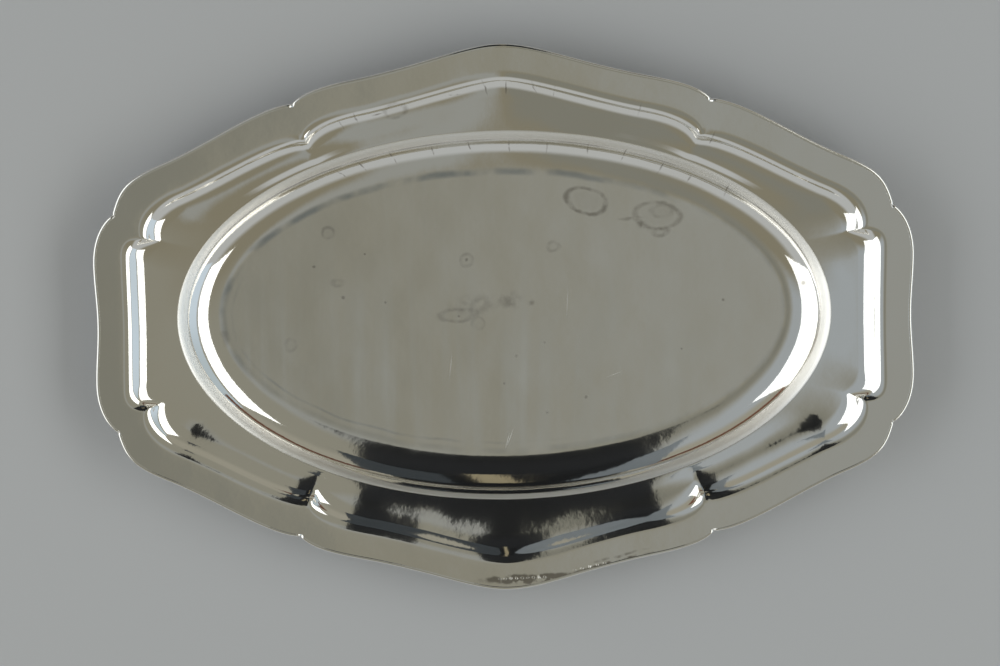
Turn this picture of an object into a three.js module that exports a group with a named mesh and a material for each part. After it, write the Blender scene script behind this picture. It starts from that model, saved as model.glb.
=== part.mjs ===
// An oval silver meat dish with a shaped outline of eight lobes. Millimetres, +Z up, +X along the length.
// The origin is the middle of the flat underside that the dish stands on.
// One raised sheet makes the floor, wall, flange and rim, and eight lengths of round wire, mitred at
// the cusps between the lobes, are soldered round its edge, level with the rim on top.
import * as THREE from "three";

// Thicknesses
const SHEET = 1.3;
const WIRE_RADIUS = 1.1;
const WIRE_SIDES = 8;
const GAP = 0.3; // left for the solder between neighbouring pieces
const WIRE_SET_BACK = 0.17; // of each wire's end from the mitre line, so that the gap is 0.3 across it

// The section across the dish, from the sheet's edge towards the middle. Turns are in degrees below level.
const RIM_FLAT = 11;
const RIM_WIDTH = 13.9; // to the line where the rim is seen to turn down
const BROW_RADIUS = 8.6;
const BROW_TURN = 46.5;
const COVE_RADIUS = 16;
const FLANGE_FALL = 10.5;
const SHOULDER_WIDTH = 16.5; // from the brow line to the foot of the shoulder
const FLANGE_WIDTH = 17;
const ROLL_RADIUS = 12.2; // where the flange rolls over into the well
const ROLL_TURN = 50;
const LEDGE = [0.8, 0.1]; // a line set in under the roll: across and down
const WALL_TURN = 63; // at the top of the well's wall
const UPPER_WALL_RADIUS = 13.5;
const MID_WALL_TURN = 34;
const LOWER_WALL_RADIUS = 25;
const FLOOR_RING = 47; // how far inside the well's edge a last row of points lies on the floor

// The roll starts from an ellipse.
const WELL_HALF_LENGTH = 180.3;
const WELL_HALF_WIDTH = 103.3;

// A quarter of each outline, from the crown of the long side to the middle of the end. Each knot is
// x, y, then the heading in degrees and the reach of the curve as it arrives, and as it leaves.
const EDGE_KNOTS = [
  [0, 152, 0, 0, 0, 20],
  [81, 133.6, -11.4, 44, -11.4, 14],
  [114.3, 120.6, -50, 9, -3, 18], // cusp beside the long lobe
  [185, 88.9, -23, 28, -23, 22],
  [213.8, 60.6, -75, 16, -35, 8.6], // cusp beside the end lobe
  [225, 33.5, -90, 12, -90, 11],
  [223.5, 0, -90, 12, 0, 0],
];
const BROW_KNOTS = [
  [0, 135.3, 0, 0, 0, 17],
  [77.8, 117.3, -11.4, 38, -11.4, 17],
  [108.4, 101.3, -65, 9, 4, 15.6],
  [177, 73, -23, 25, -23, 17],
  [196.5, 47.4, -105, 9, -4, 7],
  [207, 37.5, -90, 7.5, -90, 12],
  [206.5, 0, -90, 12, 0, 0],
];
const FOOT_KNOTS = [
  [0, 118, 0, 0, 0, 30],
  [74.5, 101.3, -11.4, 26, -11.4, 12],
  [103.3, 89.2, -36, 8, -12, 14],
  [170.6, 57.9, -23, 23, -23, 8],
  [182.6, 43.6, -75, 6, -58, 4],
  [190.5, 28.5, -90, 6, -90, 10],
  [190.5, 0, -90, 10, 0, 0],
];
const STEPS = [5, 4, 5, 5, 4, 2]; // pieces that each stretch between two knots is cut into
const LONG_CUSP = STEPS[0] + STEPS[1];
const END_CUSP = LONG_CUSP + STEPS[2] + STEPS[3];
const QUARTER = END_CUSP + STEPS[4] + STEPS[5];

const silver = () => new THREE.MeshStandardMaterial({ color: 0xc9c7bd, metalness: 1, roughness: 0.18 });
const wireSilver = () => new THREE.MeshStandardMaterial({ color: 0xd6d4cb, metalness: 1, roughness: 0.15 });

function heading(degrees, length) {
  const angle = THREE.MathUtils.degToRad(degrees);
  return new THREE.Vector2(Math.cos(angle) * length, Math.sin(angle) * length);
}

// The whole outline, counter-clockwise from the middle of the +X end, from its quarter's knots.
function outline(knots) {
  const quarter = [];
  for (let i = 0; i < STEPS.length; i++) {
    const [x0, y0, , , leaving, reachOut] = knots[i];
    const [x1, y1, arriving, reachIn] = knots[i + 1];
    const start = new THREE.Vector2(x0, y0);
    const end = new THREE.Vector2(x1, y1);
    const first = start.clone().add(heading(leaving, reachOut));
    const second = end.clone().sub(heading(arriving, reachIn));
    const curve = new THREE.CubicBezierCurve(start, first, second, end);
    quarter.push(...curve.getSpacedPoints(STEPS[i]).slice(i ? 1 : 0));
  }
  const mirrored = (sx, sy) => quarter.map((p) => new THREE.Vector2(p.x * sx, p.y * sy));
  return [
    ...mirrored(1, 1).reverse().slice(0, -1),
    ...mirrored(-1, 1).slice(0, -1),
    ...mirrored(-1, -1).reverse().slice(0, -1),
    ...mirrored(1, -1).slice(0, -1),
  ];
}

// How far a corner moves for each millimetre that the lines before and after it are moved to their left.
function mitre(before, point, after) {
  const side = (a, b) => new THREE.Vector2(a.y - b.y, b.x - a.x).normalize();
  const one = before ? side(before, point) : side(point, after);
  const two = after ? side(point, after) : one;
  return one.clone().add(two).divideScalar(1 + one.dot(two));
}

const edge = outline(EDGE_KNOTS);
const brow = outline(BROW_KNOTS);
const foot = outline(FOOT_KNOTS);
const edgeMitres = edge.map((p, i) => mitre(edge.at(i - 1), p, edge[(i + 1) % edge.length]));
const sheetEdge = edge.map((p, i) => p.clone().addScaledVector(edgeMitres[i], 2 * WIRE_RADIUS + GAP));

// The ellipse of the well, taken in by a distance, with its points in line with those of the foot.
function wellOutline(inset) {
  return foot.map((p) => {
    const angle = Math.atan2(p.y / WELL_HALF_WIDTH, p.x / WELL_HALF_LENGTH);
    const x = (WELL_HALF_LENGTH - inset) * Math.cos(angle);
    return new THREE.Vector2(x, (WELL_HALF_WIDTH - inset) * Math.sin(angle));
  });
}

const radians = THREE.MathUtils.degToRad;
const FOOT_START = RIM_WIDTH + SHOULDER_WIDTH;
const WELL_START = FOOT_START + FLANGE_WIDTH;

// The outline at a distance in from the sheet's edge, measured along the nominal section.
function outlineAt(inward) {
  const blend = (from, to, part) => from.map((p, i) => p.clone().lerp(to[i], part));
  if (inward < RIM_WIDTH) return blend(sheetEdge, brow, inward / RIM_WIDTH);
  if (inward < FOOT_START) return blend(brow, foot, (inward - RIM_WIDTH) / SHOULDER_WIDTH);
  if (inward < WELL_START) return blend(wellOutline(0), foot, (WELL_START - inward) / FLANGE_WIDTH);
  return wellOutline(inward - WELL_START);
}

// The upper side of the section as points (inward, height below the rim).
function section() {
  const points = [new THREE.Vector2(0, 0), new THREE.Vector2(RIM_FLAT, 0)];
  const bend = (radius, from, to, pieces) => {
    const start = points.at(-1).clone();
    const way = Math.sign(from - to);
    for (let i = 1; i <= pieces; i++) {
      const now = from + ((to - from) * i) / pieces;
      const across = way * radius * (Math.sin(radians(from)) - Math.sin(radians(now)));
      const down = way * radius * (Math.cos(radians(now)) - Math.cos(radians(from)));
      points.push(new THREE.Vector2(start.x + across, start.y - down));
    }
  };
  bend(BROW_RADIUS, 0, BROW_TURN, 5);
  bend(COVE_RADIUS, BROW_TURN, FLANGE_FALL, 4);
  for (const inward of [FOOT_START, WELL_START]) {
    const fall = (inward - points.at(-1).x) * Math.tan(radians(FLANGE_FALL));
    points.push(new THREE.Vector2(inward, points.at(-1).y - fall));
  }
  bend(ROLL_RADIUS, FLANGE_FALL, ROLL_TURN, 5);
  points.push(new THREE.Vector2(points.at(-1).x + LEDGE[0], points.at(-1).y - LEDGE[1]));
  bend(UPPER_WALL_RADIUS, WALL_TURN, MID_WALL_TURN, 4);
  bend(LOWER_WALL_RADIUS, MID_WALL_TURN, 0, 4);
  points.push(new THREE.Vector2(WELL_START + FLOOR_RING, points.at(-1).y));
  return points;
}

// The floor's thickness above the ground, and then the rim as high as the section lifts it.
const upperSide = section();
const RIM_TOP = SHEET - upperSide.at(-1).y;

// The same section a sheet's thickness below.
const underside = upperSide.map((p, i) => {
  return p.clone().addScaledVector(mitre(upperSide[i - 1], p, upperSide[i + 1]), -SHEET);
});

// A closed surface over rows of points, each row closed on itself, and the two ends closed by a cap.
function skin(rows) {
  const count = rows[0].length;
  const positions = rows.flat().flatMap((p) => [p.x, p.y, p.z]);
  const indices = [];
  for (let r = 0; r + 1 < rows.length; r++)
    for (let i = 0; i < count; i++) {
      const a = r * count + i;
      const b = r * count + ((i + 1) % count);
      indices.push(a, b, b + count, a, b + count, a + count);
    }
  const cap = (row, flip) => {
    const middle = new THREE.Vector3();
    for (const p of rows[row]) middle.addScaledVector(p, 1 / count);
    const centre = positions.length / 3;
    positions.push(middle.x, middle.y, middle.z);
    for (let i = 0; i < count; i++) {
      const a = row * count + i;
      const b = row * count + ((i + 1) % count);
      indices.push(...(flip ? [b, a, centre] : [a, b, centre]));
    }
  };
  cap(0, true);
  cap(rows.length - 1, false);
  const geometry = new THREE.BufferGeometry();
  geometry.setAttribute("position", new THREE.Float32BufferAttribute(positions, 3));
  geometry.setIndex(indices);
  geometry.computeVertexNormals();
  return geometry;
}

function piece(name, geometry, material) {
  const mesh = new THREE.Mesh(geometry, material);
  mesh.name = name;
  return mesh;
}

// The raised sheet: up the underside from the middle to the edge, then down the upper side.
function dishBody() {
  const level = (p) => outlineAt(p.x).map((q) => new THREE.Vector3(q.x, q.y, RIM_TOP + p.y));
  return skin([...underside.toReversed().map(level), ...upperSide.map(level)]);
}

// A length of round wire along the edge, from one cusp to the next.
function edgeWire(from, to) {
  const height = RIM_TOP - WIRE_RADIUS * Math.cos(Math.PI / WIRE_SIDES);
  const point = (i) => edge[i % edge.length];
  const rows = [];
  for (let i = from; i <= to; i++) {
    const along = point(i === from ? i + 1 : i - 1).clone().sub(point(i));
    const shift = i === from || i === to ? along.setLength(WIRE_SET_BACK) : along.set(0, 0);
    const row = [];
    for (let side = 0; side < WIRE_SIDES; side++) {
      const angle = (2 * Math.PI * (side + 0.5)) / WIRE_SIDES;
      const inward = WIRE_RADIUS * (1 + Math.cos(angle));
      const at = point(i).clone().add(shift).addScaledVector(edgeMitres[i % edge.length], inward);
      row.push(new THREE.Vector3(at.x, at.y, height + WIRE_RADIUS * Math.sin(angle)));
    }
    rows.push(row);
  }
  return skin(rows);
}

const group = new THREE.Group();
group.add(piece("dish_body", dishBody(), silver()));

// The cusps in order round the edge from the right-hand end, each pair beside a crown of the long sides.
const cusps = [];
for (let crown = QUARTER; crown < edge.length; crown += 2 * QUARTER)
  cusps.push(crown - END_CUSP, crown - LONG_CUSP, crown + LONG_CUSP, crown + END_CUSP);
const LOBES = ["right_back", "back", "left_back", "left", "left_front", "front", "right_front", "right"];
LOBES.forEach((lobe, i) => {
  const to = cusps[i + 1] ?? cusps[0] + edge.length;
  group.add(piece("edge_wire_" + lobe, edgeWire(cusps[i], to), wireSilver()));
});

export default group;
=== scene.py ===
import math

import bpy
import numpy as np
from mathutils import Matrix, Vector


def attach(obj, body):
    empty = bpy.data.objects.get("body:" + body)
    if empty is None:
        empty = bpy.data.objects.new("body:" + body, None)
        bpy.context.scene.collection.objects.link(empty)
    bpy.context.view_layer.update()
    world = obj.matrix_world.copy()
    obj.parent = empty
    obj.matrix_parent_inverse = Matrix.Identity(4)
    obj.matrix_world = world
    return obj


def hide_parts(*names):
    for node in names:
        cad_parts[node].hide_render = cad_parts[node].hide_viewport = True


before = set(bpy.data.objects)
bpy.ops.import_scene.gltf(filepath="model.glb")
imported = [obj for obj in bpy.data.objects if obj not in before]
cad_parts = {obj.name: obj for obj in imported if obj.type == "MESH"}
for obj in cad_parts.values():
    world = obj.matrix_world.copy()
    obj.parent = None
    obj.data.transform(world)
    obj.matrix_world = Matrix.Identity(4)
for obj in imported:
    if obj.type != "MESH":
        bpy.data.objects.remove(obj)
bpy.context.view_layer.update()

# A long oval silver dish with an eight-lobed rim, raised from one sheet, with a wire edge.
# Lengths are in millimetres up to the point where a mesh is made. +X runs along the dish.
MM = 0.001

SHEET = 1.3
WIRE_RADIUS = 1.1
WIRE_SEAM = 0.3  # solder between the wire and the sheet
EDGE_LAP = 0.7  # of the sheet over the wire, which closes the solder seam
MITRE_SEAM = 0.02
TOP_GAP = 0.01  # the wire's top lies this much under the rim, which laps over it
WIRE_FLAT_DEPTH = 0.8  # from the wire's middle down to where it leaves the sheet's edge

# The section across the dish, from the sheet's edge towards the middle, with turns in degrees below level.
RIM_FLAT = 11
RIM_WIDTH = 13.9
BROW_RADIUS = 9
BROW_TURN = 44
COVE_RADIUS = 18
FLANGE_FALL = 10.5
SHOULDER_WIDTH = 16.5
FLANGE_WIDTH = 17
ROLL = [(3, 31), (14, 45), (27, 52)]  # round over the lip of the well: radius, and the turn it reaches
ROLL_WIDTH = 5.9
WALL_TURN = 47  # a crease under the roll, and then the wall
WALL_RADIUS = 27
FOOT_START = RIM_WIDTH + SHOULDER_WIDTH
WELL_START = FOOT_START + FLANGE_WIDTH
CREASE = WELL_START + 26.1  # where the wall runs out on to the floor

# The roll into the well starts from an ellipse.
WELL_HALF_LENGTH = 180.3
WELL_HALF_WIDTH = 103.3
FLOOR_ROWS = [12, 30, 47, 64, 80, 92]  # rows of points over the floor, in from the well's edge

# A quarter of each outline, from the crown of the long side to the middle of the end: x, y, then the
# heading and the reach of the curve as it arrives at the point, and as it leaves.
EDGE = [
    (0, 152, 0, 0, 0, 20),
    (81, 133.6, -11.4, 44, -11.4, 14),
    (114.3, 120.6, -50, 9, -3, 18),
    (185, 88.9, -23, 28, -23, 22),
    (213.8, 60.6, -75, 16, -35, 8.6),
    (225, 33.5, -90, 12, -90, 11),
    (223.5, 0, -90, 12, 0, 0),
]
BROW = [
    (0, 135.3, 0, 0, 0, 15),
    (77.8, 117.3, -11.4, 32, -11.4, 17),
    (108.4, 101.3, -65, 9, 4, 15.6),
    (177, 73, -23, 25, -23, 17),
    (196.5, 47.4, -105, 9, -4, 7),
    (207, 37.5, -90, 7.5, -90, 12),
    (206.5, 0, -90, 12, 0, 0),
]
FOOT = [
    (0, 118, 0, 0, 0, 18),
    (74.5, 101.3, -11.4, 18, -11.4, 12),
    (103.3, 89.2, -36, 8, -12, 14),
    (170.6, 57.9, -23, 23, -23, 8),
    (182.6, 43.6, -75, 6, -58, 4),
    (190.5, 28.5, -90, 6, -90, 10),
    (190.5, 0, -90, 10, 0, 0),
]
STEPS = [34, 20, 30, 24, 20, 12]
LONG_CUSP = STEPS[0] + STEPS[1]
END_CUSP = LONG_CUSP + STEPS[2] + STEPS[3]
QUARTER = sum(STEPS)
AROUND = 4 * QUARTER


# ---------------------------------------------------------------- nodes
class Value:
    """A socket that takes part in sums. Each operator adds one Math or Vector Math node."""

    def __init__(self, bench, socket):
        self.bench = bench
        self.socket = socket

    def sum(self, operation, *others):
        sides = (self, *others)
        arrows = any(isinstance(s, tuple) or (isinstance(s, Value) and s.socket.type == "VECTOR") for s in sides)
        kind = "ShaderNodeVectorMath" if arrows else "ShaderNodeMath"
        return self.bench.add(kind, {"operation": operation}, dict(enumerate(sides)))

    def __add__(self, other):
        return self.sum("ADD", other)

    def __sub__(self, other):
        return self.sum("SUBTRACT", other)

    def __mul__(self, other):
        return self.sum("MULTIPLY", other)

    def __truediv__(self, other):
        return self.sum("DIVIDE", other)

    def __rsub__(self, other):
        return self.bench.add("ShaderNodeMath", {"operation": "SUBTRACT"}, {0: other, 1: self})

    __radd__ = __add__
    __rmul__ = __mul__

    def within(self, low, high):
        """0 below low and 1 above high, with a smooth rise between, or a fall where low is above high."""
        kind = {"interpolation_type": "SMOOTHSTEP"}
        return self.bench.add("ShaderNodeMapRange", kind, {"Value": self, "From Min": low, "From Max": high})

    def also(self, output):
        """Another output of the node that this one comes from."""
        return Value(self.bench, self.socket.node.outputs[output])


class Bench:
    """Adds nodes to one tree and hands back their outputs as Values."""

    def __init__(self, tree):
        self.tree = tree

    def add(self, kind, settings=None, inputs=None, output=0):
        node = self.tree.nodes.new(kind)
        for name, setting in (settings or {}).items():
            setattr(node, name, setting)
        for key, what in (inputs or {}).items():
            socket = node.inputs[key]
            if isinstance(what, Value):
                self.tree.links.new(what.socket, socket)
            elif socket.type in ("VECTOR", "RGBA") and isinstance(what, (int, float)):
                socket.default_value = [what] * len(socket.default_value)
            else:
                socket.default_value = what
        return Value(self, node.outputs[output]) if len(node.outputs) else node

    def mix(self, factor, first, second, kind="RGBA", **settings):
        """From first to second, as numbers (FLOAT), vectors (VECTOR) or colours (RGBA)."""
        place = {"FLOAT": (2, 3, 0), "VECTOR": (4, 5, 1), "RGBA": (6, 7, 2)}[kind]
        settings = {"data_type": kind, **settings}
        return self.add("ShaderNodeMix", settings, {0: factor, place[0]: first, place[1]: second}, place[2])


def sheet_of_nodes(name, inputs):
    """A Geometry Nodes tree with these named inputs, as its bench and its inputs' Values."""
    tree = bpy.data.node_groups.new(name, "GeometryNodeTree")
    for label, kind in {"Pattern": "Geometry", **inputs}.items():
        tree.interface.new_socket(label, in_out="INPUT", socket_type="NodeSocket" + kind)
    tree.interface.new_socket("Piece", in_out="OUTPUT", socket_type="NodeSocketGeometry")
    bench = Bench(tree)
    first = bench.add("NodeGroupInput")
    given = {label: first.also(label) for label in ["Pattern", *inputs]}
    return bench, given


def hand_out(bench, geometry, metal):
    """Ends a tree: instances made real, the metal put on, and the piece handed out."""
    real = bench.add("GeometryNodeRealizeInstances", inputs={0: geometry})
    covered = bench.add("GeometryNodeSetMaterial", inputs={"Geometry": real, "Material": metal})
    bench.add("NodeGroupOutput", inputs={0: covered})


def build(name, tree, points, sizes):
    """The piece that a tree makes of a pattern of points, as a plain mesh at the origin."""
    pattern = bpy.data.meshes.new(name)
    pattern.from_pydata([tuple(p) for p in points], [], [])
    piece = bpy.data.objects.new(name, pattern)
    bpy.context.scene.collection.objects.link(piece)
    modifier = piece.modifiers.new("shape", "NODES")
    modifier.node_group = tree
    for item in tree.interface.items_tree:
        if item.item_type == "SOCKET" and item.in_out == "INPUT" and item.name in sizes:
            modifier[item.identifier] = sizes[item.name]
    depsgraph = bpy.context.evaluated_depsgraph_get()
    made = bpy.data.meshes.new_from_object(
        piece.evaluated_get(depsgraph), preserve_all_data_layers=True, depsgraph=depsgraph
    )
    piece.modifiers.clear()
    piece.data = made
    while None in list(made.materials):
        made.materials.pop(index=list(made.materials).index(None))
    made.name = name
    bpy.data.meshes.remove(pattern)
    return piece


# ---------------------------------------------------------------- outlines and sections
def outline(knots):
    """The whole outline, counter-clockwise from the middle of the +X end, from its quarter's knots."""
    quarter = [np.array([[knots[0][0], knots[0][1]]], float)]
    t = np.linspace(0, 1, 400)[:, None]
    for before, after, steps in zip(knots, knots[1:], STEPS):
        leaving, arriving = math.radians(before[4]), math.radians(after[2])
        a, d = np.array(before[:2], float), np.array(after[:2], float)
        b = a + before[5] * np.array([math.cos(leaving), math.sin(leaving)])
        c = d - after[3] * np.array([math.cos(arriving), math.sin(arriving)])
        curve = (1 - t) ** 3 * a + 3 * (1 - t) ** 2 * t * b + 3 * (1 - t) * t**2 * c + t**3 * d
        run = np.concatenate([[0], np.cumsum(np.linalg.norm(np.diff(curve, axis=0), axis=1))])
        even = np.linspace(0, run[-1], steps + 1)[1:]
        quarter.append(np.column_stack([np.interp(even, run, curve[:, k]) for k in (0, 1)]))
    quarter = np.concatenate(quarter)
    return np.concatenate(
        [
            quarter[::-1][:-1],
            (quarter * (-1, 1))[:-1],
            (quarter * (-1, -1))[::-1][:-1],
            (quarter * (1, -1))[:-1],
        ]
    )


def mitres(loop, closed=True):
    """How far each corner moves for every millimetre that its two sides move to their left."""
    before = loop - np.roll(loop, 1, axis=0)
    after = np.roll(loop, -1, axis=0) - loop
    if not closed:
        before[0], after[-1] = after[0], before[-1]
    one, two = (np.column_stack([-s[:, 1], s[:, 0]]) / np.linalg.norm(s, axis=1)[:, None] for s in (before, after))
    return (one + two) / (1 + (one * two).sum(axis=1))[:, None]


def bend(path, radius, start, end, pieces):
    """Adds a bend to a section that falls at the start turn, and at the end turn where it stops."""
    x, y = path[-1]
    way = 1 if start > end else -1
    for turn in np.radians(np.linspace(start, end, pieces + 1)[1:]):
        across = way * radius * (math.sin(math.radians(start)) - math.sin(turn))
        down = way * radius * (math.cos(turn) - math.cos(math.radians(start)))
        path.append((x + across, y - down))


def section(fineness):
    """One side of the section, from the sheet's edge to the floor: how far in, and the height over the rim."""
    path = [(-EDGE_LAP, 0), (0.03 - EDGE_LAP, 0), (0, 0), (4, 0), (8, 0), (RIM_FLAT, 0)]
    bend(path, BROW_RADIUS, 0, BROW_TURN, 4 * fineness)
    bend(path, COVE_RADIUS, BROW_TURN, FLANGE_FALL, 4 * fineness)
    for inward in (FOOT_START, FOOT_START + 0.35 * FLANGE_WIDTH, FOOT_START + 0.7 * FLANGE_WIDTH, WELL_START):
        x, y = path[-1]
        path.append((inward, y - (inward - x) * math.tan(math.radians(FLANGE_FALL))))
    turn = FLANGE_FALL
    for radius, reached in ROLL:
        bend(path, radius, turn, reached, 2 * fineness)
        turn = reached
    bend(path, WALL_RADIUS, WALL_TURN, 0, 7 * fineness)
    x, y = path[-1]
    path += [(x + 0.4, y), *((WELL_START + inset, y) for inset in FLOOR_ROWS if WELL_START + inset > x + 1)]
    return np.array(path, float)


def dish_section():
    """The whole section, up the underside from the middle and down the upper side, and the rim's height."""
    top = section(4)
    under = section(2)
    under = under - SHEET * mitres(under, closed=False)
    rim_top = SHEET - top[-1, 1]
    ends = [under[::-1], top]
    rows = [(x, upper, rim_top + y) for upper, side in enumerate(ends) for x, y in side]
    return np.array(rows), rim_top


# ---------------------------------------------------------------- trees
def dish_tree():
    """Draws the sheet's skin over the section's rows, between the outlines of edge, brow, foot and well."""
    bench, given = sheet_of_nodes(
        "raised sheet",
        {
            "Points Around": "Int",
            "Rows": "Int",
            "Rim Width": "Float",
            "Shoulder Width": "Float",
            "Flange Width": "Float",
            "Well Half Length": "Float",
            "Well Half Width": "Float",
            "Metal": "Material",
        },
    )
    around, rows = given["Points Around"], given["Rows"]
    skin = bench.add(
        "GeometryNodeMeshCylinder",
        {"fill_type": "TRIANGLE_FAN"},
        {"Vertices": around, "Side Segments": rows - 1},
    )
    number = bench.add("GeometryNodeInputIndex") - 1
    row = (number / around).sum("FLOOR").sum("MAXIMUM", 0).sum("MINIMUM", rows - 1)
    column = number.sum("FLOORED_MODULO", around)
    is_hub = number.sum("LESS_THAN", 0).sum("MAXIMUM", number.sum("GREATER_THAN", around * rows - 0.5))

    def pattern(index):
        inputs = {"Geometry": given["Pattern"], "Value": bench.add("GeometryNodeInputPosition"), "Index": index}
        return bench.add("GeometryNodeSampleIndex", {"data_type": "FLOAT_VECTOR"}, inputs)

    across = bench.add("ShaderNodeSeparateXYZ", inputs={0: pattern(row + around * 3)})
    upper, height = across.also(1), across.also(2)
    foot = pattern(column + around * 2)
    foot_place = bench.add("ShaderNodeSeparateXYZ", inputs={0: foot})
    angle = (foot_place.also(1) / given["Well Half Width"]).sum("ARCTAN2", foot_place / given["Well Half Length"])
    foot_start = given["Rim Width"] + given["Shoulder Width"]
    inset = (across - foot_start - given["Flange Width"]).sum("MAXIMUM", 0)
    well = bench.add(
        "ShaderNodeCombineXYZ",
        inputs={
            0: (given["Well Half Length"] - inset) * angle.sum("COSINE"),
            1: (given["Well Half Width"] - inset) * angle.sum("SINE"),
        },
    )
    on_rim = (across / given["Rim Width"]).sum("MINIMUM", 1)
    on_shoulder = ((across - given["Rim Width"]) / given["Shoulder Width"]).sum("MAXIMUM", 0).sum("MINIMUM", 1)
    on_flange = ((across - foot_start) / given["Flange Width"]).sum("MAXIMUM", 0).sum("MINIMUM", 1)
    spot = bench.mix(on_rim, pattern(column), pattern(column + around), "VECTOR", clamp_factor=False)
    spot = bench.mix(on_shoulder, spot, foot, "VECTOR")
    spot = bench.mix(on_flange, spot, well, "VECTOR") * (1 - is_hub)
    lifted = spot + bench.add("ShaderNodeCombineXYZ", inputs={2: height})
    placed = bench.add("GeometryNodeSetPosition", inputs={"Geometry": skin, "Position": lifted})
    for label, amount in (("across", across), ("upper", upper)):
        placed = bench.add(
            "GeometryNodeStoreNamedAttribute",
            {"data_type": "FLOAT", "domain": "POINT"},
            {"Geometry": placed, "Name": label, "Value": amount},
        )
    outward = bench.add("GeometryNodeFlipFaces", inputs={0: placed})
    smooth = bench.add("GeometryNodeSetShadeSmooth", inputs={0: outward})
    hand_out(bench, smooth, given["Metal"])
    return bench.tree


def wire_tree():
    """Draws one length of edge wire along the outline, from one cusp to the next, with mitred ends."""
    bench, given = sheet_of_nodes(
        "edge wire",
        {
            "Points Around": "Int",
            "First Point": "Int",
            "Pieces": "Int",
            "Sides": "Int",
            "Mitre Seam": "Float",
            "Metal": "Material",
        },
    )
    around, sides, pieces = given["Points Around"], given["Sides"], given["Pieces"]
    skin = bench.add("GeometryNodeMeshCylinder", {"fill_type": "NGON"}, {"Vertices": sides, "Side Segments": pieces})
    number = bench.add("GeometryNodeInputIndex") + 0
    row = (number / sides).sum("FLOOR")
    side = number.sum("FLOORED_MODULO", sides)
    is_first = row.sum("LESS_THAN", 0.5)
    is_last = row.sum("GREATER_THAN", pieces - 0.5)
    column = (given["First Point"] + row).sum("FLOORED_MODULO", around)
    neighbour = (column + is_first - is_last + around).sum("FLOORED_MODULO", around)

    def pattern(index):
        inputs = {"Geometry": given["Pattern"], "Value": bench.add("GeometryNodeInputPosition"), "Index": index}
        return bench.add("GeometryNodeSampleIndex", {"data_type": "FLOAT_VECTOR"}, inputs)

    edge = pattern(column)
    profile = bench.add("ShaderNodeSeparateXYZ", inputs={0: pattern(side + around * 2)})
    along = (pattern(neighbour) - edge).sum("NORMALIZE")
    back = along * (given["Mitre Seam"] * is_first.sum("MAXIMUM", is_last))
    lift = bench.add("ShaderNodeCombineXYZ", inputs={2: profile.also(2)})
    spot = edge + pattern(column + around) * profile + back + lift
    placed = bench.add("GeometryNodeSetPosition", inputs={"Geometry": skin, "Position": spot})
    placed = bench.add(
        "GeometryNodeStoreNamedAttribute",
        {"data_type": "FLOAT", "domain": "POINT"},
        {"Geometry": placed, "Name": "upper", "Value": 1.0},
    )
    smooth = bench.add("GeometryNodeSetShadeSmooth", inputs={0: placed, "Shade Smooth": skin.also("Side")})
    hand_out(bench, smooth, given["Metal"])
    return bench.tree


# ---------------------------------------------------------------- the metal
# Marks that food and water left, and a painted dark reflection along the front of the rim: x, y, half length, half
# width and turn in degrees, then how dark.
RINGS = [
    (45.8, 61.3, 11.2, 7.0, -18, 0.75),
    (85, 52.8, 12.5, 7.2, -6, 0.55),
    (87.5, 55.2, 5.5, 3.2, -8, 0.3),
    (86.5, 43.3, 3.6, 2.0, 5, 0.5),
    (-96.2, 46, 3.3, 3.0, 0, 0.5),
    (-118.4, -17, 2.8, 3.2, 0, 0.35),
    (27.9, 36.5, 3.0, 2.6, 0, 0.3),
    (-20.3, 29.3, 3.4, 3.2, 20, 0.35),
    (-26, -1.5, 9.5, 3.4, 4, 0.4),
    (-91.8, 17.4, 2.8, 1.6, 0, 0.4),
    (-14.5, -6.5, 3.2, 3.2, 0, 0.3),
    (-58.2, 115.4, 6.0, 4.2, 15, 0.5),
]
SMEARS_AND_PAINTED_REFLECTION = [
    (-17.3, 4, 17, 7, 3, 0.4),
    (3.2, 6.5, 8, 6.5, 0, 0.5),
    (14.8, 5, 2.6, 2.2, 0, 0.6),
    (70, 51, 8.5, 1.3, 4, 0.5),
    (-154.6, -10.9, 3.0, 7.5, 8, 0.45),
    (78, 47, 7, 3, -30, 0.25),
    # The last three lie along the front of the rim: a painted dark reflection in its rounded edge, with some brownish
    # streaking.
    (16, -145.6, 34, 3.2, 2, 4.0),
    (56, -138.6, 32, 2.2, 14, 2.5),
    (60, -134, 20, 1.2, 14, 0.7),
]
# Small dark specks: x, y, half width.
SPECKS = [
    (-20.3, 29.6, 1.0), (-104.8, 26.6, 1.1), (-89.1, 9, 1.3), (-76.5, 33.4, 0.8), (-65.4, 6.4, 0.9),
    (22.2, -17.3, 0.8), (6.1, -25, 0.9), (-0.2, -40.1, 0.9), (44.6, -48.7, 1.1), (23.4, -56.8, 1.0),
    (165.3, 14.4, 1.5), (-24.6, -1.5, 0.8), (121, 5, 1.0), (98, -22, 0.8),
]
# Dried drips across the wall and the shoulder, and scratches on the floor: x, y, half length, turn.
DRIPS = [
    (-88.8, 79, 5.5, -38), (-77.2, 83.2, 5, -42), (-60.6, 88.3, 6, -58), (-38, 91, 4, -80), (-18.2, 93.6, 5.5, -68),
    (3.8, 93, 5, -84), (24.6, 91.5, 4.5, 80), (47.2, 91.6, 5, 82), (66.9, 87.8, 5.5, 66), (86.6, 79.3, 5.5, 62),
    (103.1, 74.5, 4, 60), (122.8, 66.5, 5.5, 72), (-87.3, 108, 4.5, -60), (-79.6, 111.6, 5, -70), (-68, 113.5, 3.5, 10),
    (-25.3, 124, 4.5, 5), (-8.9, 127.8, 6, -74), (2.5, 127.4, 5, 88), (17.3, 127.9, 5.5, -72), (28.7, 125.5, 5, 80),
    (75.5, 115, 5, 75), (114.7, 98.5, 5, 70),
]
SCRATCHES = [(60.5, -36, 7.5, 21), (2.5, -70.5, 7, 70), (0.8, -73, 6, 76), (-30, -30, 9, 84), (35, 5, 12, 87)]
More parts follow.
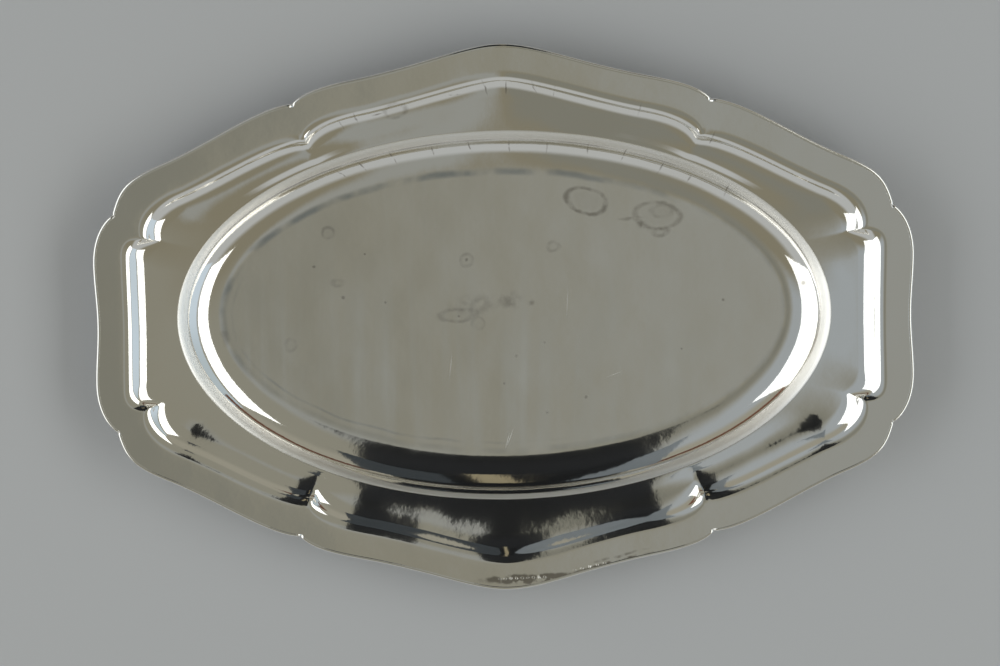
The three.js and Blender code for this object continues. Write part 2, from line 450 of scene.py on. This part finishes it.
# Small punched marks on the front of the rim, in two rows: where each row starts and ends, and how many.
PUNCHES = [((-4.5, -145.7), (20.4, -144.9), 9), ((37.1, -141.2), (53.7, -137.5), 5)]
DRIP_HALF_WIDTH = 0.7
SCRATCH_HALF_WIDTH = 0.3
SCRATCH_DEPTH = 0.02
PUNCH_HALF_LENGTH = 0.95
PUNCH_DEPTH = 0.06

CLEAN = (0.955, 0.94, 0.905, 1)
WARM = (0.93, 0.9, 0.835, 1)
# Also the colour of the painted dark reflection along the front of the rim.
STAINED_AND_REFLECTED_DARK = (0.4, 0.37, 0.33, 1)
TARNISHED = (0.5, 0.53, 0.55, 1)
HAZED = (0.99, 1, 1, 1)


class Surface:
    """A point of the metal, in millimetres, and the patterns and marks that are laid out from there."""

    def __init__(self, bench):
        self.bench = bench
        self.spot = bench.add("ShaderNodeTexCoord", output="Object") * (1 / MM)

    def cloud(self, size, detail, stretch=(1, 1, 1), output=0):
        """A cloudy pattern from 0 to 1, with patches of about this size."""
        inputs = {"Vector": self.spot * stretch, "Scale": 1 / size, "Detail": detail}
        return self.bench.add("ShaderNodeTexNoise", inputs=inputs, output=output)

    def from_mark(self, x, y, half_length, half_width, turn, spot=None):
        """How far the point is from the middle of an oval mark, where 1 is the oval's edge."""
        inputs = {
            "Vector": spot or self.spot,
            "Location": (x, y, 0),
            "Rotation": (0, 0, math.radians(turn)),
            "Scale": (half_length, half_width, 400),
        }
        return self.bench.add("ShaderNodeMapping", {"vector_type": "TEXTURE"}, inputs).sum("LENGTH").also("Value")


def stains_and_painted_reflection(surface):
    """How dark the rings, smears, specks and drips are, and the painted dark reflection along the front of the rim."""
    wobble = surface.cloud(9, 3, output="Color") - 0.5
    wandering = surface.spot + wobble * 4
    broken = surface.cloud(5, 4).within(0.35, 0.65)
    stain_and_painted_reflection = 0
    for x, y, half_length, half_width, turn, dark in RINGS:
        far = surface.from_mark(x, y, half_length, half_width, turn, wandering)
        line = ((far - 1).sum("ABSOLUTE") * min(half_length, half_width)).within(1.5, 0.1)
        stain_and_painted_reflection = stain_and_painted_reflection + line * (broken * 0.7 + 0.3) * dark + far.within(1, 0.5) * (0.12 * dark)
    for x, y, half_length, half_width, turn, dark in SMEARS_AND_PAINTED_REFLECTION:
        far = surface.from_mark(x, y, half_length, half_width, turn, wandering)
        stain_and_painted_reflection = stain_and_painted_reflection + far.within(1.1, 0.2) * broken * dark
    for x, y, size in SPECKS:
        stain_and_painted_reflection = stain_and_painted_reflection + surface.from_mark(x, y, size, size, 0, wandering).within(1.2, 0.3) * 0.7
    curved = surface.spot + wobble * 3.2
    for x, y, half_length, turn in DRIPS:
        far = surface.from_mark(x, y, half_length, DRIP_HALF_WIDTH, turn, curved)
        stain_and_painted_reflection = stain_and_painted_reflection + far.within(1, 0.3) * broken * 0.9
    return stain_and_painted_reflection


def punches(surface):
    """1 in the grooves of the punched marks. Each mark is a small oval ring, no two turned alike."""
    punched = 0
    for start, end, count in PUNCHES:
        for i in range(count):
            x, y = np.array(start) + (np.array(end) - start) * i / (count - 1)
            half_width = 0.55 + 0.35 * math.sin(5 * i) ** 2
            far = surface.from_mark(x, y, PUNCH_HALF_LENGTH, half_width, 40 * i)
            punched = punched + (far - 0.8).sum("ABSOLUTE").within(0.35, 0.05)
    return punched


def scratches(surface):
    """1 in the deep scratches."""
    scratched = 0
    for x, y, half_length, turn in SCRATCHES:
        far = surface.from_mark(x, y, half_length, SCRATCH_HALF_WIDTH, turn)
        scratched = scratched + far.within(1, 0.2)
    return scratched


def wear_and_painted_reflection(surface, colour, roughness, waves):
    """What use has done to the upper side of the sheet, and a painted dark reflection along the front of the rim: the
    colour, roughness and relief that they leave.
    """
    bench = surface.bench
    upper = bench.add("ShaderNodeAttribute", {"attribute_name": "upper"}, output="Fac")
    across = bench.add("ShaderNodeAttribute", {"attribute_name": "across"}, output="Fac") * (1 / MM)
    on_floor = across.within(CREASE - 8, CREASE + 3)
    away = bench.add("ShaderNodeSeparateXYZ", inputs={0: surface.spot})
    east, north = away * (1 / WELL_HALF_LENGTH), away.also(1) * (1 / WELL_HALF_WIDTH)
    patchy = surface.cloud(26, 3).within(0.36, 0.62)

    # Tarnish in the crease round the floor, darkest at the back left, and doubled at the front left.
    from_line = across + (surface.cloud(22, 3) - 0.5) * 3 - (CREASE - 1.3)
    back_left = (north - east * 0.75).within(-0.1, 0.9)
    front_left = (0 - north - east).within(0.4, 1.1)
    first = from_line.sum("ABSOLUTE").within(3, 0.3) * patchy * (back_left * 0.7 + 0.3)
    second = (from_line - 5).sum("ABSOLUTE").within(1.3, 0.1) * patchy * front_left
    tarnish = (first + second * 0.5) * upper
    colour = bench.mix(tarnish, colour, TARNISHED)

    # Stains, the painted dark reflection along the front of the rim, a darker line along the crease under the roll, and
    # the punched marks, which stay bright.
    under_roll = (across - WELL_START - ROLL_WIDTH).sum("ABSOLUTE").within(0.7, 0.1)
    stain_and_painted_reflection = stains_and_painted_reflection(surface) + under_roll * (patchy * 0.5 + 0.2)
    punched = punches(surface)
    stain_and_painted_reflection = stain_and_painted_reflection.sum("MINIMUM", 1) * (1 - punched.sum("MINIMUM", 0.8)) * upper
    colour = bench.mix(stain_and_painted_reflection, colour, STAINED_AND_REFLECTED_DARK)

    # Haze and streaks left by washing, most at the front of the floor.
    front = north.within(0.5, -0.5) * 0.8 + 0.2
    bloom = surface.cloud(34, 4, (1, 0.6, 1)).within(0.45, 0.75)
    streaks = surface.cloud(7, 3, (1, 0.05, 1)).within(0.4, 0.8)
    haze = (bloom + streaks) * front * on_floor * upper
    colour = bench.mix(haze * 0.5, colour, HAZED)

    # The roll round the well is worn satin, with fine lines along it, over less of its width at the front.
    width = ROLL_WIDTH - north.within(-0.75, -0.95) * 2.7
    on_roll = across.within(WELL_START - 0.2, WELL_START + 0.6) * (across - WELL_START - width).within(0.2, -0.8)
    on_roll = on_roll * upper
    along = bench.add("ShaderNodeCombineXYZ", inputs={0: across}) + surface.spot * 0.03
    grain = bench.add("ShaderNodeTexNoise", inputs={"Vector": along, "Scale": 1.5, "Detail": 2.0})

    brushed = surface.cloud(1.4, 3, (0.05, 1, 1)) + surface.cloud(1.4, 3, (1, 0.05, 1))
    scratched = scratches(surface) * upper
    roughness = roughness + on_roll * (grain * 0.3 + 0.2) + (stain_and_painted_reflection + tarnish) * 0.12
    roughness = roughness + on_floor * 0.07 + haze * 0.09 + scratched * 0.3
    waves = waves + on_roll * grain * 0.02 + brushed * (on_floor + 0.3) * 0.0016
    waves = waves - scratched * SCRATCH_DEPTH - punched * upper * PUNCH_DEPTH
    return colour, roughness, waves


def silver(name, worn=True):
    """Old hand-polished silver, slightly uneven. Where it is worn, it is also hazed, tarnished and marked, and carries
    a painted dark reflection along the front of the rim.
    """
    material = bpy.data.materials.new(name)
    material.use_nodes = True
    material.node_tree.nodes.clear()
    bench = Bench(material.node_tree)
    surface = Surface(bench)
    film = surface.cloud(90, 2).within(0.42, 0.68) * 0.7 + surface.cloud(12, 5) * 0.6
    colour = bench.mix(film * 0.6, CLEAN, WARM)
    roughness = 0.045 + surface.cloud(8, 4) * 0.03
    waves = surface.cloud(42, 1) * 0.4 + surface.cloud(13, 1) * 0.03 + surface.cloud(4, 3) * 0.02
    if worn:
        colour, roughness, waves = wear_and_painted_reflection(surface, colour, roughness, waves)
    normal = bench.add("ShaderNodeBump", inputs={"Height": waves, "Distance": MM})
    shader = bench.add(
        "ShaderNodeBsdfPrincipled",
        inputs={"Base Color": colour, "Metallic": 1.0, "Roughness": roughness, "Normal": normal},
    )
    bench.add("ShaderNodeOutputMaterial", inputs={0: shader})
    return material


# ---------------------------------------------------------------- the dish
def make_sheet(edge, mitre):
    """The sheet that everything but the wire is raised from. Hands back the height of the rim."""
    sheet_edge = edge + mitre * (2 * WIRE_RADIUS + WIRE_SEAM)
    rows, rim_top = dish_section()
    flat = [np.column_stack([loop, np.zeros(AROUND)]) for loop in (sheet_edge, outline(BROW), outline(FOOT))]
    points = np.concatenate([*flat, rows * (1, 1 / MM, 1)]) * MM
    sizes = {
        "Points Around": AROUND,
        "Rows": len(rows),
        "Rim Width": RIM_WIDTH * MM,
        "Shoulder Width": SHOULDER_WIDTH * MM,
        "Flange Width": FLANGE_WIDTH * MM,
        "Well Half Length": WELL_HALF_LENGTH * MM,
        "Well Half Width": WELL_HALF_WIDTH * MM,
        "Metal": silver("worn dish silver"),
    }
    body = build("raised_sheet", dish_tree(), points, sizes)
    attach(body, "root")
    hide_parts("dish_body")
    return rim_top


def wire_section(rim_top):
    """Round outside, dressed level with the rim on top, and straight against the sheet."""
    centre = rim_top - WIRE_RADIUS * math.cos(math.pi / 8)
    top = rim_top - TOP_GAP
    turns = np.radians(np.linspace(90, 270, 17))
    outer = [(WIRE_RADIUS * (1 + math.cos(a)), centre + (top - centre) * math.sin(a)) for a in turns]
    against = 2 * WIRE_RADIUS + WIRE_SEAM
    inner = [(2 * WIRE_RADIUS, centre - WIRE_FLAT_DEPTH), (against, centre), (against, top)]
    return np.array([(x, 0, z) for x, z in outer + inner])[::-1]


def make_wires(edge, mitre, rim_top):
    """The eight lengths of wire soldered round the edge, each from one cusp to the next."""
    profile = wire_section(rim_top)
    loops = [np.column_stack([edge, np.zeros(AROUND)]) * MM, np.column_stack([mitre, np.zeros(AROUND)])]
    points = np.concatenate([*loops, profile * MM])
    tree = wire_tree()
    metal = silver("wire silver", worn=False)
    cusps = []
    for crown_point in range(QUARTER, AROUND, 2 * QUARTER):
        cusps += [crown_point + step for step in (-END_CUSP, -LONG_CUSP, LONG_CUSP, END_CUSP)]
    lobes = ["right_back", "back", "left_back", "left", "left_front", "front", "right_front", "right"]
    for i, lobe in enumerate(lobes):
        last = cusps[i + 1] if i + 1 < len(cusps) else cusps[0] + AROUND
        sizes = {
            "Points Around": AROUND,
            "First Point": cusps[i],
            "Pieces": last - cusps[i],
            "Sides": len(profile),
            "Mitre Seam": MITRE_SEAM * MM,
            "Metal": metal,
        }
        wire = build("wire_" + lobe, tree, points, sizes)
        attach(wire, "root")
        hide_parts("edge_wire_" + lobe)


# ---------------------------------------------------------------- floor, light and camera
HALF_FLOOR = 14
MATT_ROUGHNESS = 0.9
PALE_FLOOR = (0.57, 0.575, 0.585)

CARD_COLOURS = {
    "dark card": (0.016, 0.017, 0.02),
    "slate card": (0.06, 0.07, 0.08),
    "grey card": (0.27, 0.3, 0.33),
    "tan card": (0.5, 0.42, 0.27),
    "brown card": (0.22, 0.1, 0.06),
}
# Matt cards that only the silver sees: which colour, then the corners in metres.
CARDS = {
    "dark_card": ("dark card", [(-0.36, 1.2, 0.95), (0.36, 1.2, 0.95), (0.12, 0.15, 3.4), (-0.15, 0.15, 3.4)]),
    "dark_card_low": ("dark card", [(-0.26, 1.4, 0.15), (0.26, 1.4, 0.15), (0.36, 1.2, 0.96), (-0.36, 1.2, 0.96)]),
    "slate_card": ("slate card", [(0.1, 1.15, 0.34), (0.32, 1.15, 0.28), (0.4, 1.05, 1.0), (0.14, 1.05, 0.85)]),
    "grey_card": ("grey card", [(-0.34, 1.15, 0.25), (-0.12, 1.15, 0.3), (-0.24, 1.05, 0.85), (-0.44, 1.0, 1.4)]),
    "tan_card": ("tan card", [(-0.03, 1.12, 0.45), (0.04, 1.12, 0.45), (0.06, 1.0, 0.95), (0, 1.0, 1.0)]),
    "brown_card_left": ("brown card", [(-1.7, 1.3, 0.35), (-0.42, 1.5, 0.3), (-0.42, 1.5, 0.42), (-1.7, 1.3, 0.6)]),
    "brown_card_right": ("brown card", [(0.42, 1.5, 0.3), (1.7, 1.3, 0.35), (1.7, 1.3, 0.6), (0.42, 1.5, 0.42)]),
}
# Soft windows: place, aim, size, radiance and colour.
WINDOWS = {
    "window_right": ((1.5, 0, 1.5), (-0.2, 0, 0), (3.4, 1.0), 1.5, (0.96, 0.99, 1)),
    "sill_right": ((1.8, 0, 0.5), (-0.2, 0, 0.1), (3.4, 0.75), 0.3, (0.42, 0.7, 1)),
    "window_left": ((-1.6, 0, 1.0), (0.2, 0, 0), (2.8, 1.6), 1.1, (0.96, 0.99, 1)),
}

LENS = 196.4
EYE_DISTANCE = 3.0
EYE_TILT = 10  # degrees from straight above, towards the back
EYE_TURN = -0.79  # degrees round its own line of sight
AIM = Vector((-0.0025, -0.0086, 0.02))


def matt(name, colour):
    material = bpy.data.materials.new(name)
    material.use_nodes = True
    shader = material.node_tree.nodes["Principled BSDF"]
    shader.inputs["Base Color"].default_value = (*colour, 1)
    shader.inputs["Roughness"].default_value = MATT_ROUGHNESS
    return material


def card(name, corners, material, seen=False):
    """A flat card of the studio, which the camera sees only where it is asked to."""
    mesh = bpy.data.meshes.new(name)
    mesh.from_pydata(corners, [], [tuple(range(len(corners)))])
    mesh.materials.append(material)
    panel = bpy.data.objects.new(name, mesh)
    bpy.context.scene.collection.objects.link(panel)
    panel.visible_camera = seen


def window(name, place, aim, size, radiance, colour):
    lamp = bpy.data.lights.new(name, "AREA")
    lamp.shape = "RECTANGLE"
    lamp.size, lamp.size_y = size
    lamp.energy = radiance * math.pi * size[0] * size[1]
    lamp.color = colour
    light = bpy.data.objects.new(name, lamp)
    bpy.context.scene.collection.objects.link(light)
    light.location = place
    light.rotation_euler = (Vector(aim) - Vector(place)).to_track_quat("-Z", "Y").to_euler()
    light.visible_camera = False


def room():
    """A soft even room: an olive ceiling with a cooler patch to each side, and pale walls in front."""
    world = bpy.data.worlds.new("room")
    bpy.context.scene.world = world
    world.use_nodes = True
    world.node_tree.nodes.clear()
    bench = Bench(world.node_tree)
    east = bench.add("ShaderNodeSeparateXYZ", inputs={0: bench.add("ShaderNodeTexCoord")})
    north, up = east.also(1), east.also(2)
    ceiling = bench.mix(north.within(-0.1, -0.5), (0.248, 0.243, 0.2, 1), (0.215, 0.2, 0.148, 1))
    ceiling = bench.mix(east.within(-0.01, -0.07) * east.within(-0.3, -0.1), ceiling, (0.2, 0.2, 0.17, 1))
    ceiling = bench.mix(east.within(-0.02, 0.06) * east.within(0.2, 0.1), ceiling, (0.28, 0.288, 0.27, 1))
    ceiling = bench.mix(east.within(-0.16, -0.36) * north.within(-0.45, -0.2), ceiling, (0.33, 0.36, 0.38, 1))
    wall = bench.mix(north.within(-0.3, 0.4), (0.43, 0.445, 0.445, 1), (0.3, 0.29, 0.24, 1))
    sky = bench.mix(up.within(0.36, 0.58), wall, ceiling)
    light = bench.add("ShaderNodeBackground", inputs={0: sky, 1: 1.0})
    bench.add("ShaderNodeOutputWorld", inputs={0: light})


def studio():
    room()
    bpy.context.scene.view_settings.view_transform = "Standard"
    corners = [(x * HALF_FLOOR, y * HALF_FLOOR, 0) for x, y in ((-1, -1), (1, -1), (1, 1), (-1, 1))]
    card("floor", corners, matt("pale floor", PALE_FLOOR), seen=True)
    materials = {name: matt(name, colour) for name, colour in CARD_COLOURS.items()}
    for name, (material, corners) in CARDS.items():
        card(name, corners, materials[material])
    for name, settings in WINDOWS.items():
        window(name, *settings)


def camera():
    """Almost straight above, a little to the back, and turned a little."""
    lens = bpy.data.cameras.new("camera")
    lens.lens = LENS
    lens.clip_end = 100
    eye = bpy.data.objects.new("camera", lens)
    bpy.context.scene.collection.objects.link(eye)
    tilt = math.radians(EYE_TILT)
    back = Vector((0, math.sin(tilt), math.cos(tilt)))
    right = Matrix.Rotation(math.radians(EYE_TURN), 3, back) @ Vector((1, 0, 0))
    up = back.cross(right)
    eye.matrix_world = Matrix.Translation(AIM + EYE_DISTANCE * back) @ Matrix((right, up, back)).transposed().to_4x4()
    bpy.context.scene.camera = eye


sheet_outline = outline(EDGE)
sheet_mitre = mitres(sheet_outline)
rim_height = make_sheet(sheet_outline, sheet_mitre)
make_wires(sheet_outline, sheet_mitre, rim_height)
studio()
camera()
